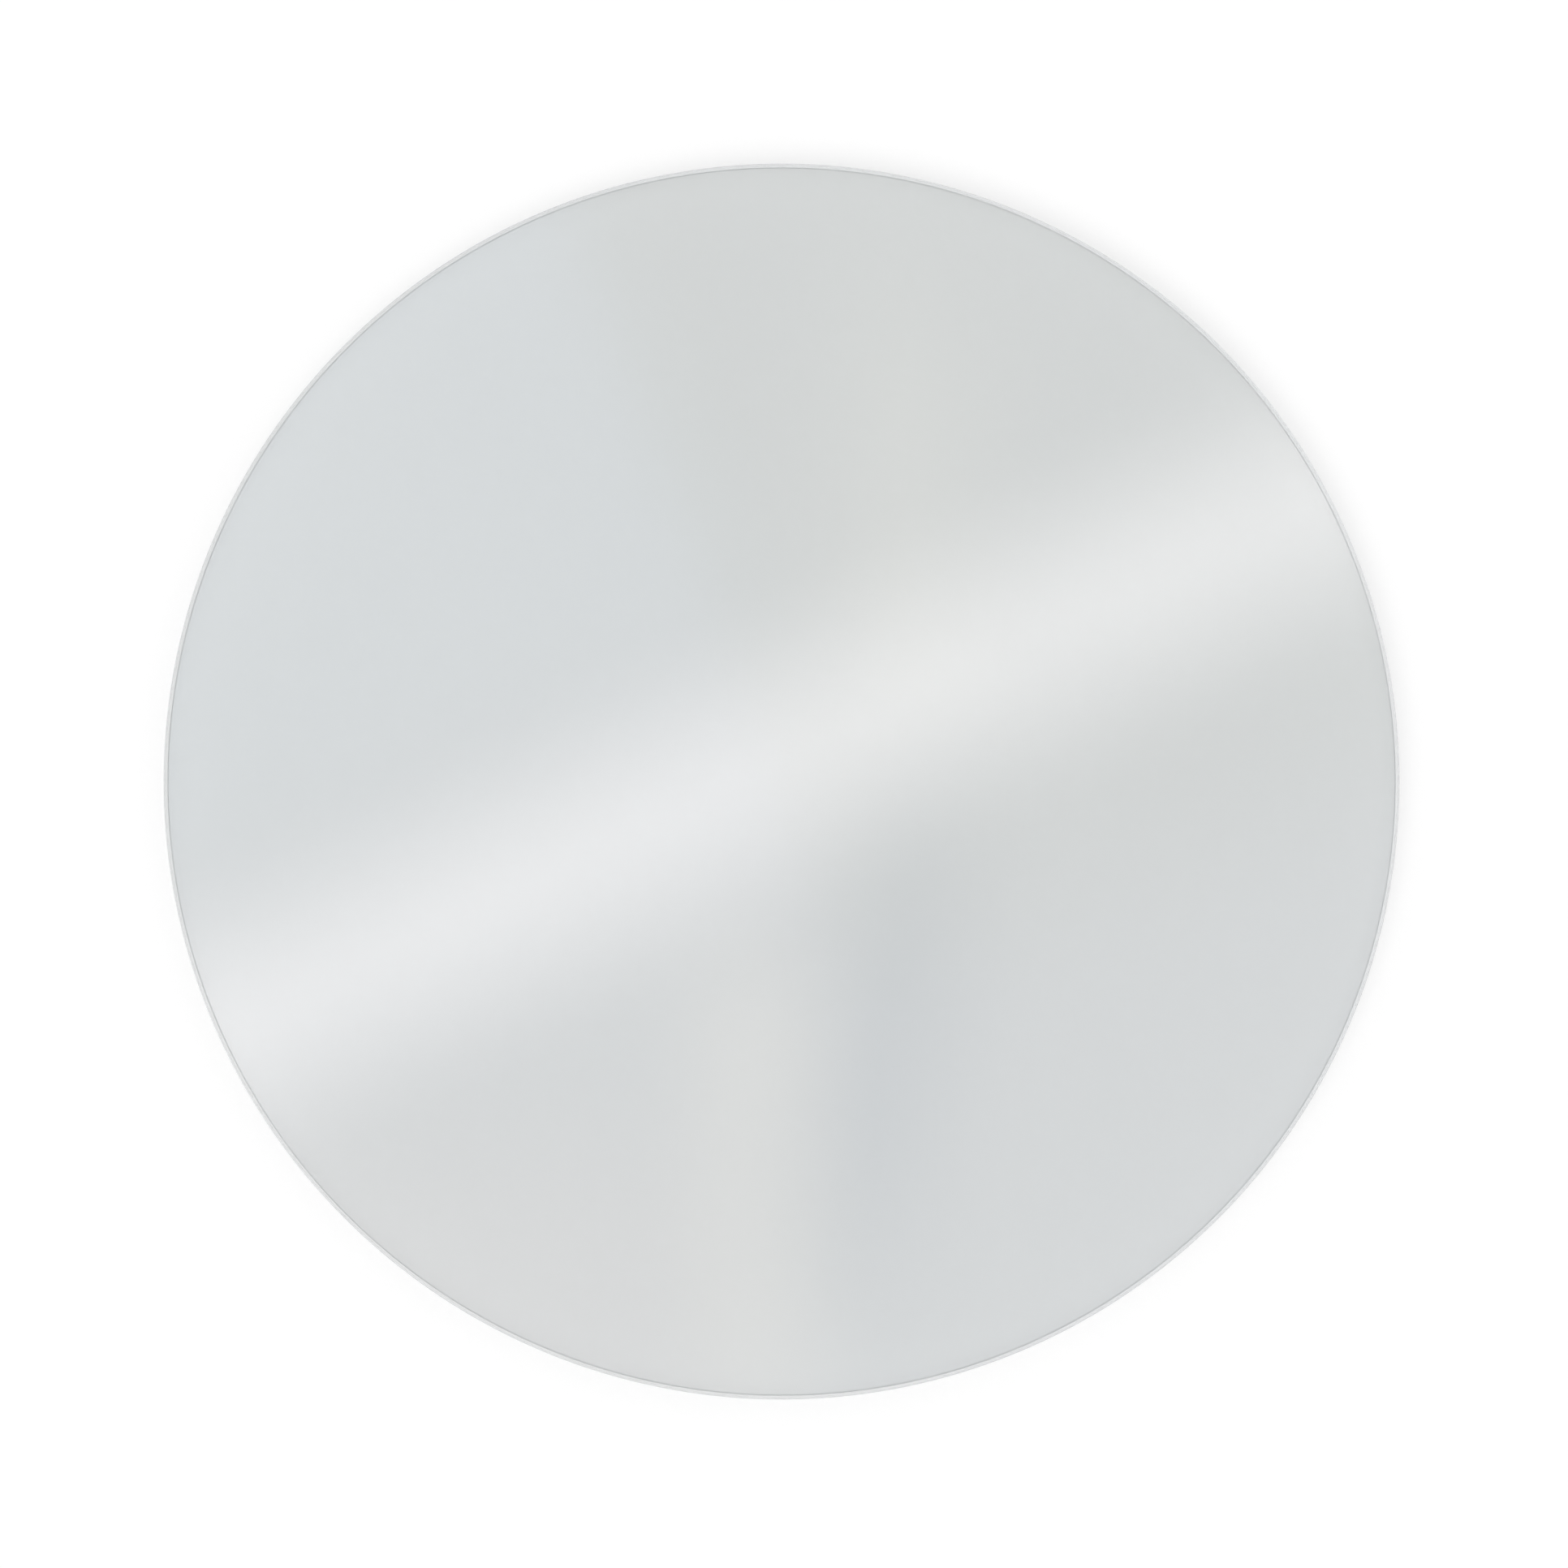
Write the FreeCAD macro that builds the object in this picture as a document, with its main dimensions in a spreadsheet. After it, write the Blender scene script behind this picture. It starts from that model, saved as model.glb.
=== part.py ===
import FreeCAD
import Part
import os
import Sketcher

# Circle template: a plain round disc to draw, cut or sew around.
#
# The guiding disc is clear cast acrylic sheet with a polished rim. A satin silver film is bonded under it and
# gives the face its colour. A non-slip backing covers the film, protects it and lies on the work. Film and
# backing are laid on the sheet first and all three are cut round in one pass, so their rims are flush.
#
# Frame: +Z up, origin at the centre of the underside, where the template lies on the work. Millimetres.

SHEET_NAME = "dimensions"

# Driving dimensions: alias, value and meaning. Every other size and place is worked out from these.
DIMENSIONS = [
    ("template_diameter", 152.4, "guiding diameter of the rim, a 6 inch circle"),
    ("sheet_thickness", 3.0, "stock thickness of the acrylic sheet"),
    ("edge_rounding", 0.1, "radius that polishing leaves on the rim's upper edge"),
    ("film_thickness", 0.1, "thickness of the self-adhesive silver film"),
    ("backing_thickness", 0.5, "thickness of the self-adhesive non-slip backing"),
]

# How a sketch numbers a circle's centre point, and the geometry and point of its own origin.
CENTRE_POINT = 3
SKETCH_ORIGIN = (-1, 1)


def add_dimensions(doc):
    """The spreadsheet whose cells drive every size in the document."""
    sheet = doc.addObject("Spreadsheet::Sheet", SHEET_NAME)
    for row, (alias, value, meaning) in enumerate(DIMENSIONS, start=1):
        sheet.set(f"A{row}", alias)
        sheet.set(f"B{row}", str(value))
        sheet.setAlias(f"B{row}", alias)
        sheet.set(f"C{row}", meaning)
    doc.recompute()


def cell(alias):
    """How an expression names one of the spreadsheet's cells."""
    return f"{SHEET_NAME}.{alias}"


def origin_plane(body, role):
    """One of the body's own origin planes, found by its role."""
    return next(plane for plane in body.Origin.OriginFeatures if plane.Role == role)


def add_round_layer(doc, name, thickness, height):
    """A body holding one padded circle about Z, as wide as the template. The rest are given as expressions."""
    body = doc.addObject("PartDesign::Body", name)
    body.Label = name
    outline = body.newObject("Sketcher::SketchObject", f"{name}_outline")
    outline.AttachmentSupport = (origin_plane(body, "XY_Plane"), [""])
    outline.MapMode = "FlatFace"
    circle = outline.addGeometry(Part.Circle(), False)
    outline.addConstraint(Sketcher.Constraint("Coincident", circle, CENTRE_POINT, *SKETCH_ORIGIN))
    radius_constraint = outline.addConstraint(Sketcher.Constraint("Radius", circle, 1.0))
    outline.renameConstraint(radius_constraint, "outline_radius")
    outline.setExpression("Constraints.outline_radius", f"{cell('template_diameter')} / 2")
    pad = body.newObject("PartDesign::Pad", f"{name}_pad")
    pad.Profile = outline
    pad.setExpression("Length", thickness)
    body.setExpression("Placement.Base.z", height)
    doc.recompute()
    return body


def round_upper_edge(doc, body, radius):
    """Rounds the higher of the two full-circle edges of the body's last feature."""
    plain_disc = body.Tip
    rim_edges = {
        f"Edge{number}": edge.CenterOfMass.z
        for number, edge in enumerate(plain_disc.Shape.Edges, start=1)
        if isinstance(edge.Curve, Part.Circle) and edge.isClosed()
    }
    upper_edge = max(rim_edges, key=rim_edges.get)
    rounding = body.newObject("PartDesign::Fillet", f"{body.Name}_rounding")
    rounding.Base = (plain_disc, [upper_edge])
    rounding.setExpression("Radius", radius)
    doc.recompute()


def add_acrylic_disc(doc):
    """The clear sheet whose rim guides the nib, blade or needle. Its underside is bonded to the film."""
    body = add_round_layer(
        doc,
        "acrylic_disc",
        thickness=cell("sheet_thickness"),
        height=f"{cell('backing_thickness')} + {cell('film_thickness')}",
    )
    round_upper_edge(doc, body, cell("edge_rounding"))
    return body


def add_silver_film(doc):
    """The satin silver film between the acrylic and the backing, which shows through the clear sheet."""
    return add_round_layer(
        doc,
        "silver_film",
        thickness=cell("film_thickness"),
        height=cell("backing_thickness"),
    )


def add_non_slip_backing(doc):
    """The soft sheet that lies on the work, protects the film and keeps the template from sliding."""
    return add_round_layer(
        doc,
        "non_slip_backing",
        thickness=cell("backing_thickness"),
        height="0",
    )


def check_document(doc, bodies):
    """Stops if a feature failed, or if a piece isn't one sound solid."""
    for item in doc.Objects:
        if "Invalid" in item.State or "Error" in item.State:
            raise RuntimeError(f"{item.Name} failed: {item.State}")
    for body in bodies:
        if body.Shape.isNull() or not body.Shape.isValid() or len(body.Shape.Solids) != 1:
            raise RuntimeError(f"{body.Label} isn't one sound solid")


def export_pieces(bodies):
    """Writes each piece to its own STEP file, named after its label."""
    os.makedirs("parts", exist_ok=True)
    for body in bodies:
        body.Shape.exportStep(f"parts/{body.Label}.step")


document = FreeCAD.newDocument("circle_template")
add_dimensions(document)
pieces = [
    add_acrylic_disc(document),
    add_silver_film(document),
    add_non_slip_backing(document),
]
check_document(document, pieces)
export_pieces(pieces)
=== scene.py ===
import math

import bpy
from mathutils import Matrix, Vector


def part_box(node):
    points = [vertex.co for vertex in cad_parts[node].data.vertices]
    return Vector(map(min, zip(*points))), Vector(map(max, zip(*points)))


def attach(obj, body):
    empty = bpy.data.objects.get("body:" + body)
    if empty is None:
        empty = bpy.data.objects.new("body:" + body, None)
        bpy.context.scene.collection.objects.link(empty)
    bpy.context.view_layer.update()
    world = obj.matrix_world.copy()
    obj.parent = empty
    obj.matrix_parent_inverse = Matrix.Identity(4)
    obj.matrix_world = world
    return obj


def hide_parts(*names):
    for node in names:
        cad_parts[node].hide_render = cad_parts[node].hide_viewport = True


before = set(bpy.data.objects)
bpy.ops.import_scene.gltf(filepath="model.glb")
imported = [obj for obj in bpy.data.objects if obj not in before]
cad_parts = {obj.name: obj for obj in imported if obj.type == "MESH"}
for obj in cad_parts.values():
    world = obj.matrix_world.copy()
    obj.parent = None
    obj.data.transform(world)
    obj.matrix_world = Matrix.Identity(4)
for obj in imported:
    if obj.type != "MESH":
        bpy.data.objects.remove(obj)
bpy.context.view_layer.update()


# ---------------------------------------------------------------------------------------------------------
# Non-slip backing: a soft pale grey vinyl sheet with its own adhesive, pressed over the film and cut with it.
# Its underside is finely pebbled, which is what grips the paper or cloth.
# ---------------------------------------------------------------------------------------------------------
MM = 0.001
backing_low, backing_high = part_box("non_slip_backing")
backing_lower_edge = 0.08 * MM
backing_upper_edge = 0.01 * MM
round_segments = 720

vinyl_dark = (0.56, 0.58, 0.59)
vinyl_light = (0.62, 0.64, 0.65)
vinyl_roughness = (0.6, 0.75)
vinyl_specular = 0.35
mottles_per_metre = 180
dull_spots_per_metre = 700
pebbles_per_metre = 900
pebble_height = 0.1 * MM
pebble_strength = 0.6
noise_low = 0.3
noise_high = 0.7


def quarter_turn(centre_r, centre_z, radius, start_degrees, steps):
    """A rounded edge in section: points, each with its outward normal, clockwise from the start angle."""
    points = []
    for step in range(steps + 1):
        angle = math.radians(start_degrees - 90 * step / steps)
        out, up = math.cos(angle), math.sin(angle)
        points.append(((centre_r + radius * out, centre_z + radius * up), (out, up)))
    return points


def disc_section(radius, low, high, upper_rounding, lower_rounding, steps):
    """The section of a disc with both edges rounded, from its top face over the rim to its underside."""
    upper_edge = quarter_turn(radius - upper_rounding, high - upper_rounding, upper_rounding, 90, steps)
    lower_edge = quarter_turn(radius - lower_rounding, low + lower_rounding, lower_rounding, 0, steps)
    return upper_edge + lower_edge


def turned_disc(name, section):
    """A closed disc made by turning a section about Z. It keeps the section's own normals."""
    vertices = [(0, 0, section[0][0][1])]
    normals = [(0, 0, 1)]
    for (radius, height), (out, up) in section:
        for segment in range(round_segments):
            angle = 2 * math.pi * segment / round_segments
            vertices.append((radius * math.cos(angle), radius * math.sin(angle), height))
            normals.append((out * math.cos(angle), out * math.sin(angle), up))
    vertices.append((0, 0, section[-1][0][1]))
    normals.append((0, 0, -1))
    top_centre = 0
    bottom_centre = len(vertices) - 1
    lowest_ring = 1 + (len(section) - 1) * round_segments
    faces = []
    for segment in range(round_segments):
        following = (segment + 1) % round_segments
        faces.append((top_centre, 1 + segment, 1 + following))
        for ring in range(len(section) - 1):
            above = 1 + ring * round_segments
            below = above + round_segments
            faces.append((above + segment, below + segment, below + following, above + following))
        faces.append((bottom_centre, lowest_ring + following, lowest_ring + segment))
    mesh = bpy.data.meshes.new(name)
    mesh.from_pydata(vertices, [], faces)
    mesh.shade_smooth()
    mesh.normals_split_custom_set_from_vertices(normals)
    turned = bpy.data.objects.new(name, mesh)
    bpy.context.scene.collection.objects.link(turned)
    return turned


def new_material(name):
    """A node material with one Principled shader, and its tree and that shader."""
    material = bpy.data.materials.new(name)
    material.use_nodes = True
    tree = material.node_tree
    return material, tree, tree.nodes["Principled BSDF"]


def noise(tree, per_metre, detail, stretch=(1, 1, 1)):
    """A cloudy 0 to 1 pattern fixed to the piece."""
    place = tree.nodes.new("ShaderNodeTexCoord")
    mapping = tree.nodes.new("ShaderNodeMapping")
    mapping.inputs["Scale"].default_value = stretch
    pattern = tree.nodes.new("ShaderNodeTexNoise")
    pattern.inputs["Scale"].default_value = per_metre
    pattern.inputs["Detail"].default_value = detail
    tree.links.new(place.outputs["Object"], mapping.inputs["Vector"])
    tree.links.new(mapping.outputs["Vector"], pattern.inputs["Vector"])
    return pattern.outputs["Fac"]


def spread(tree, pattern, low, high):
    """Turns a noise pattern, which lies mostly from noise_low to noise_high, into a range of values."""
    ranged = tree.nodes.new("ShaderNodeMapRange")
    ranged.inputs["From Min"].default_value = noise_low
    ranged.inputs["From Max"].default_value = noise_high
    ranged.inputs["To Min"].default_value = low
    ranged.inputs["To Max"].default_value = high
    tree.links.new(pattern, ranged.inputs["Value"])
    return ranged.outputs["Result"]


def tinted(tree, pattern, dark, light):
    """Turns a noise pattern into a colour between two."""
    mix = tree.nodes.new("ShaderNodeMix")
    mix.data_type = "RGBA"
    mix.inputs["A"].default_value = (*dark, 1)
    mix.inputs["B"].default_value = (*light, 1)
    tree.links.new(spread(tree, pattern, 0, 1), mix.inputs["Factor"])
    return mix.outputs["Result"]


def relief(tree, pattern, height, strength):
    """Turns a pattern into a relief of that height."""
    bump = tree.nodes.new("ShaderNodeBump")
    bump.inputs["Strength"].default_value = strength
    bump.inputs["Distance"].default_value = height
    tree.links.new(pattern, bump.inputs["Height"])
    return bump.outputs["Normal"]


def grey_vinyl():
    """Soft vinyl: matt, mottled a little, with pebbles about a millimetre apart."""
    material, tree, shader = new_material("grey_vinyl")
    shader.inputs["Specular IOR Level"].default_value = vinyl_specular
    colour = tinted(tree, noise(tree, mottles_per_metre, detail=4), vinyl_dark, vinyl_light)
    tree.links.new(colour, shader.inputs["Base Color"])
    dullness = spread(tree, noise(tree, dull_spots_per_metre, detail=2), *vinyl_roughness)
    tree.links.new(dullness, shader.inputs["Roughness"])
    place = tree.nodes.new("ShaderNodeTexCoord")
    pebbles = tree.nodes.new("ShaderNodeTexVoronoi")
    pebbles.feature = "SMOOTH_F1"
    pebbles.inputs["Scale"].default_value = pebbles_per_metre
    tree.links.new(place.outputs["Object"], pebbles.inputs["Vector"])
    pebbled = relief(tree, pebbles.outputs["Distance"], pebble_height, pebble_strength)
    tree.links.new(pebbled, shader.inputs["Normal"])
    return material


backing_section = disc_section(
    backing_high.x, backing_low.z, backing_high.z, backing_upper_edge, backing_lower_edge, steps=3
)
backing = turned_disc("backing", backing_section)
backing.data.materials.append(grey_vinyl())
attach(backing, "root")
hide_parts("non_slip_backing")


# ---------------------------------------------------------------------------------------------------------
# Silver film: metallised film with a satin face, rolled onto the clear sheet without air under it, and cut
# with it. It gives the template its silver-grey face. Its adhesive wets the sheet, so the face lies just
# inside the sheet's underside.
# ---------------------------------------------------------------------------------------------------------
film_low, film_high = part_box("silver_film")
film_edge = 0.01 * MM
bond_depth = 0.01 * MM

silver_dark = (0.83, 0.85, 0.86)
silver_light = (0.845, 0.865, 0.875)
silver_roughness = (0.045, 0.06)
mirror_share = 0.5
clouds_per_metre = 12
roller_marks_per_metre = 40


def satin_silver():
    """Metallised film: half mirror and half haze, very slightly uneven from the rolling."""
    material, tree, shader = new_material("satin_silver")
    shader.inputs["Metallic"].default_value = mirror_share
    shader.inputs["Specular IOR Level"].default_value = 0.0
    colour = tinted(tree, noise(tree, clouds_per_metre, detail=2), silver_dark, silver_light)
    tree.links.new(colour, shader.inputs["Base Color"])
    dullness = spread(tree, noise(tree, roller_marks_per_metre, detail=3), *silver_roughness)
    tree.links.new(dullness, shader.inputs["Roughness"])
    return material


film_section = disc_section(film_high.x, film_low.z, film_high.z + bond_depth, film_edge, film_edge, steps=2)
film = turned_disc("film", film_section)
film.data.materials.append(satin_silver())
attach(film, "root")
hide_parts("silver_film")


# ---------------------------------------------------------------------------------------------------------
# Acrylic disc: clear cast sheet, cut round in one pass with film and backing, then polished, which leaves its
# upper edge softly rounded. Its rim is the guide. The cut has left faint upright lines on it.
# ---------------------------------------------------------------------------------------------------------
disc_low, disc_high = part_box("acrylic_disc")
edge_rounding = 0.1 * MM
disc_lower_edge = 0.01 * MM

acrylic_ior = 1.49
acrylic_tint = (0.90, 0.965, 0.96)
tint_density = 6.0
acrylic_roughness = (0.0, 0.02)
polish_marks_per_metre = 60
cut_lines_per_metre = 2500
cut_line_stretch = (1, 1, 0.02)
cut_line_depth = 0.002 * MM
cut_line_strength = 0.3
rim_begins = disc_high.x - 3 * edge_rounding
rim_full = disc_high.x - edge_rounding


def maths(tree, operation, *values):
    """One sum. Its values are sockets or plain numbers."""
    total = tree.nodes.new("ShaderNodeMath")
    total.operation = operation
    for socket, value in zip(total.inputs, values):
        if isinstance(value, bpy.types.NodeSocket):
            tree.links.new(value, socket)
        else:
            socket.default_value = value
    return total.outputs["Value"]


def soft_step(tree, value, none_at, full_at):
    """Changes softly from 0, where the value is none_at, to 1, where it is full_at."""
    step = tree.nodes.new("ShaderNodeMapRange")
    step.interpolation_type = "SMOOTHSTEP"
    step.inputs["From Min"].default_value = none_at
    step.inputs["From Max"].default_value = full_at
    tree.links.new(value, step.inputs["Value"])
    return step.outputs["Result"]


def clear_acrylic():
    """Cast acrylic: clear, with a tint that shows only along the sheet, where light runs through it far."""
    material, tree, shader = new_material("clear_acrylic")
    shader.inputs["Base Color"].default_value = (1, 1, 1, 1)
    shader.inputs["IOR"].default_value = acrylic_ior
    shader.inputs["Transmission Weight"].default_value = 1.0
    dullness = spread(tree, noise(tree, polish_marks_per_metre, detail=6), *acrylic_roughness)
    tree.links.new(dullness, shader.inputs["Roughness"])
    place = tree.nodes.new("ShaderNodeTexCoord")
    flat = tree.nodes.new("ShaderNodeMapping")
    flat.inputs["Scale"].default_value = (1, 1, 0)
    reach = tree.nodes.new("ShaderNodeVectorMath")
    reach.operation = "LENGTH"
    tree.links.new(place.outputs["Object"], flat.inputs["Vector"])
    tree.links.new(flat.outputs["Vector"], reach.inputs[0])
    on_rim = soft_step(tree, reach.outputs["Value"], rim_begins, rim_full)
    everywhere = noise(tree, cut_lines_per_metre, detail=2, stretch=cut_line_stretch)
    cut_lines = maths(tree, "MULTIPLY", everywhere, on_rim)
    tree.links.new(relief(tree, cut_lines, cut_line_depth, cut_line_strength), shader.inputs["Normal"])
    tint = tree.nodes.new("ShaderNodeVolumeAbsorption")
    tint.inputs["Color"].default_value = (*acrylic_tint, 1)
    tint.inputs["Density"].default_value = tint_density
    output = tree.nodes["Material Output"]
    tree.links.new(tint.outputs["Volume"], output.inputs["Volume"])
    return material


acrylic_section = disc_section(
    disc_high.x, disc_low.z, disc_high.z, edge_rounding, disc_lower_edge, steps=10
)
disc = turned_disc("disc", acrylic_section)
disc.data.materials.append(clear_acrylic())
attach(disc, "root")
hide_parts("acrylic_disc")


# ---------------------------------------------------------------------------------------------------------
# Room: the template lies face up on a plain white table, in even daylight with a soft lamp from one side.
# Gloss shows the pale walls round the table, which are greyer at their foot and crossed by slanting light.
# ---------------------------------------------------------------------------------------------------------
scene = bpy.context.scene
scene.view_settings.view_transform = "Standard"

white = 1.0
sky_level = 0.72
lamp_level = 0.28
lamp_elevation = 62
lamp_turn = -35
lamp_spread = 50
wall_foot = 0.62
wall_rise = 0.35
streak_count = 24
streak_slant = 29
streak_level = 0.25
streaks_full = 0.8
streaks_end = 0.93
table_radius = 3.0
table_colour = 0.42
table_margin = 0.02
table_gap = 0.02 * MM
sheet_sides = 96


def between(tree, factor, low, high):
    """The value that lies that far from low to high. All three are sockets or plain numbers."""
    mix = tree.nodes.new("ShaderNodeMix")
    for name, value in (("Factor", factor), ("A", low), ("B", high)):
        if isinstance(value, bpy.types.NodeSocket):
            tree.links.new(value, mix.inputs[name])
        else:
            mix.inputs[name].default_value = value
    return mix.outputs["Result"]


def in_gloss(tree):
    """1 for what shows in or through a glossy surface, and 0 for the rest."""
    path = tree.nodes.new("ShaderNodeLightPath")
    return maths(tree, "MAXIMUM", path.outputs["Is Glossy Ray"], path.outputs["Is Transmission Ray"])


def in_view(tree):
    """1 for what the camera sees straight, and 0 for the rest."""
    return tree.nodes.new("ShaderNodeLightPath").outputs["Is Camera Ray"]


def walls(tree):
    """The level of the walls in each direction. Height is the sine of the elevation."""
    direction = tree.nodes.new("ShaderNodeTexCoord")
    parts = tree.nodes.new("ShaderNodeSeparateXYZ")
    tree.links.new(direction.outputs["Generated"], parts.inputs["Vector"])
    height = parts.outputs["Z"]
    turn = maths(tree, "ARCTAN2", parts.outputs["Y"], parts.outputs["X"])
    slant = maths(tree, "MULTIPLY_ADD", turn, streak_count, maths(tree, "MULTIPLY", height, streak_slant))
    streaks = soft_step(tree, maths(tree, "COSINE", slant), 0.0, 1.0)
    fade = soft_step(tree, height, streaks_end, streaks_full)
    foot = between(tree, soft_step(tree, height, 0.0, wall_rise), wall_foot, white)
    return maths(tree, "MULTIPLY_ADD", maths(tree, "MULTIPLY", streaks, fade), streak_level, foot)


world = bpy.data.worlds.new("room")
scene.world = world
world.use_nodes = True
room = world.node_tree
background = room.nodes["Background"]
background.inputs["Color"].default_value = (1, 1, 1, 1)
out_of_view = between(room, in_gloss(room), sky_level, walls(room))
room.links.new(between(room, in_view(room), out_of_view, white), background.inputs["Strength"])

# A sun of this energy adds lamp_level to a level white surface.
lamp = bpy.data.lights.new("soft_lamp", "SUN")
lamp.angle = math.radians(lamp_spread)
lamp.energy = lamp_level * math.pi / math.sin(math.radians(lamp_elevation))
lamp_object = bpy.data.objects.new("soft_lamp", lamp)
lamp_object.rotation_euler = (math.radians(90 - lamp_elevation), 0, math.radians(lamp_turn))
lamp_object.visible_glossy = False
lamp_object.visible_transmission = False
scene.collection.objects.link(lamp_object)


def white_table():
    """Matt board that glows, where it is seen, just enough to show as white where nothing shades it."""
    material, tree, shader = new_material("white_table")
    shader.inputs["Base Color"].default_value = (table_colour, table_colour, table_colour, 1)
    shader.inputs["Roughness"].default_value = 1.0
    shader.inputs["Specular IOR Level"].default_value = 0.0
    shader.inputs["Emission Color"].default_value = (1, 1, 1, 1)
    seen = maths(tree, "MAXIMUM", in_view(tree), in_gloss(tree))
    glow = between(tree, seen, 0, white - table_colour + table_margin)
    tree.links.new(glow, shader.inputs["Emission Strength"])
    return material


def flat_round(name, radius, height):
    """A round sheet lying level."""
    corners = []
    for side in range(sheet_sides):
        angle = 2 * math.pi * side / sheet_sides
        corners.append((radius * math.cos(angle), radius * math.sin(angle), 0))
    mesh = bpy.data.meshes.new(name)
    mesh.from_pydata(corners, [], [tuple(range(sheet_sides))])
    sheet = bpy.data.objects.new(name, mesh)
    sheet.location.z = height
    scene.collection.objects.link(sheet)
    return sheet


table = flat_round("table", table_radius, backing_low.z - table_gap)
table.data.materials.append(white_table())


# ---------------------------------------------------------------------------------------------------------
# Camera: straight above the template, with a long lens. The template fills frame_share of the view's
# width, and lies a hair off its middle.
# ---------------------------------------------------------------------------------------------------------
lens = 100
frame_share = 0.788
nudge_x = 0.3 * MM
nudge_y = -0.3 * MM
widest_height = disc_high.z - edge_rounding

camera = bpy.data.cameras.new("camera")
camera.lens = lens
camera.clip_start = 0.01
camera.clip_end = 20
frame_width = (disc_high.x - disc_low.x) / frame_share
camera_height = widest_height + frame_width * lens / camera.sensor_width
camera_object = bpy.data.objects.new("camera", camera)
camera_object.location = (nudge_x, nudge_y, camera_height)
scene.collection.objects.link(camera_object)
scene.camera = camera_object


# ---------------------------------------------------------------------------------------------------------
# Diffuser: a white sheet hung level over the table. A long lamp shines through it aslant, and what stands
# round it makes it a little lighter or darker in places. It shows only in gloss: the table's light is even.
# Places on it are given where they show on the face from above, so the sheet itself is larger by its reach.
# ---------------------------------------------------------------------------------------------------------
diffuser_height = 0.6
diffuser_radius = 0.15
diffuser_reach = 1 + diffuser_height / (camera_height - disc_high.z)


def soft_patch(tree, centre, turn, half_length, half_width, glow):
    """What a soft-edged oblong adds to the sheet. The halves are each a half size and its softness, in mm."""
    place = tree.nodes.new("ShaderNodeTexCoord")
    mapping = tree.nodes.new("ShaderNodeMapping")
    mapping.vector_type = "TEXTURE"
    mapping.inputs["Location"].default_value = (centre[0] * MM, centre[1] * MM, 0)
    mapping.inputs["Rotation"].default_value = (0, 0, math.radians(turn))
    parts = tree.nodes.new("ShaderNodeSeparateXYZ")
    tree.links.new(place.outputs["Object"], mapping.inputs["Vector"])
    tree.links.new(mapping.outputs["Vector"], parts.inputs["Vector"])
    inside = 1.0
    for axis, (half, softness) in (("X", half_length), ("Y", half_width)):
        distance = maths(tree, "ABSOLUTE", parts.outputs[axis])
        edge = soft_step(tree, distance, (half + softness) * MM, (half - softness) * MM)
        inside = maths(tree, "MULTIPLY", inside, edge)
    patch = tree.nodes.new("ShaderNodeVectorMath")
    patch.operation = "SCALE"
    patch.inputs[0].default_value = glow
    tree.links.new(inside, patch.inputs["Scale"])
    return patch.outputs["Vector"]


def lit_diffuser():
    """The sheet's glow: white, with the patches added."""
    material = bpy.data.materials.new("lit_diffuser")
    material.use_nodes = True
    material.cycles.emission_sampling = "NONE"
    tree = material.node_tree
    tree.nodes.clear()
    long_lamp = soft_patch(tree, (0, 3), 26, (120, 20), (10, 12), (0.40, 0.37, 0.37))
    left_window = soft_patch(tree, (-75, 35), 25, (60, 10), (45, 15), (0.03, 0.05, 0.06))
    right_wall = soft_patch(tree, (50, 50), 20, (65, 5), (55, 15), (-0.03, -0.03, -0.05))
    near_wall = soft_patch(tree, (-60, -75), 0, (50, 10), (30, 15), (0.05, 0.03, 0.02))
    door_gap = soft_patch(tree, (-3, -50), 0, (8, 8), (28, 12), (0.12, 0.10, 0.07))
    lamp_stand = soft_patch(tree, (12, -32), -10, (5, 15), (28, 22), (-0.19, -0.17, -0.14))
    small_lamp = soft_patch(tree, (15, 35), 0, (5, 15), (25, 20), (0.10, 0.09, 0.06))
    total = tree.nodes.new("ShaderNodeCombineXYZ").outputs["Vector"]
    for axis in "XYZ":
        total.node.inputs[axis].default_value = white
    for patch in (long_lamp, left_window, right_wall, near_wall, door_gap, lamp_stand, small_lamp):
        both = tree.nodes.new("ShaderNodeVectorMath")
        both.operation = "ADD"
        tree.links.new(total, both.inputs[0])
        tree.links.new(patch, both.inputs[1])
        total = both.outputs["Vector"]
    glow = tree.nodes.new("ShaderNodeEmission")
    output = tree.nodes.new("ShaderNodeOutputMaterial")
    tree.links.new(total, glow.inputs["Color"])
    tree.links.new(glow.outputs["Emission"], output.inputs["Surface"])
    return material


diffuser = flat_round("diffuser", diffuser_radius, disc_high.z + diffuser_height)
diffuser.scale = (diffuser_reach, diffuser_reach, 1)
diffuser.visible_camera = False
diffuser.visible_diffuse = False
diffuser.visible_shadow = False
diffuser.data.materials.append(lit_diffuser())
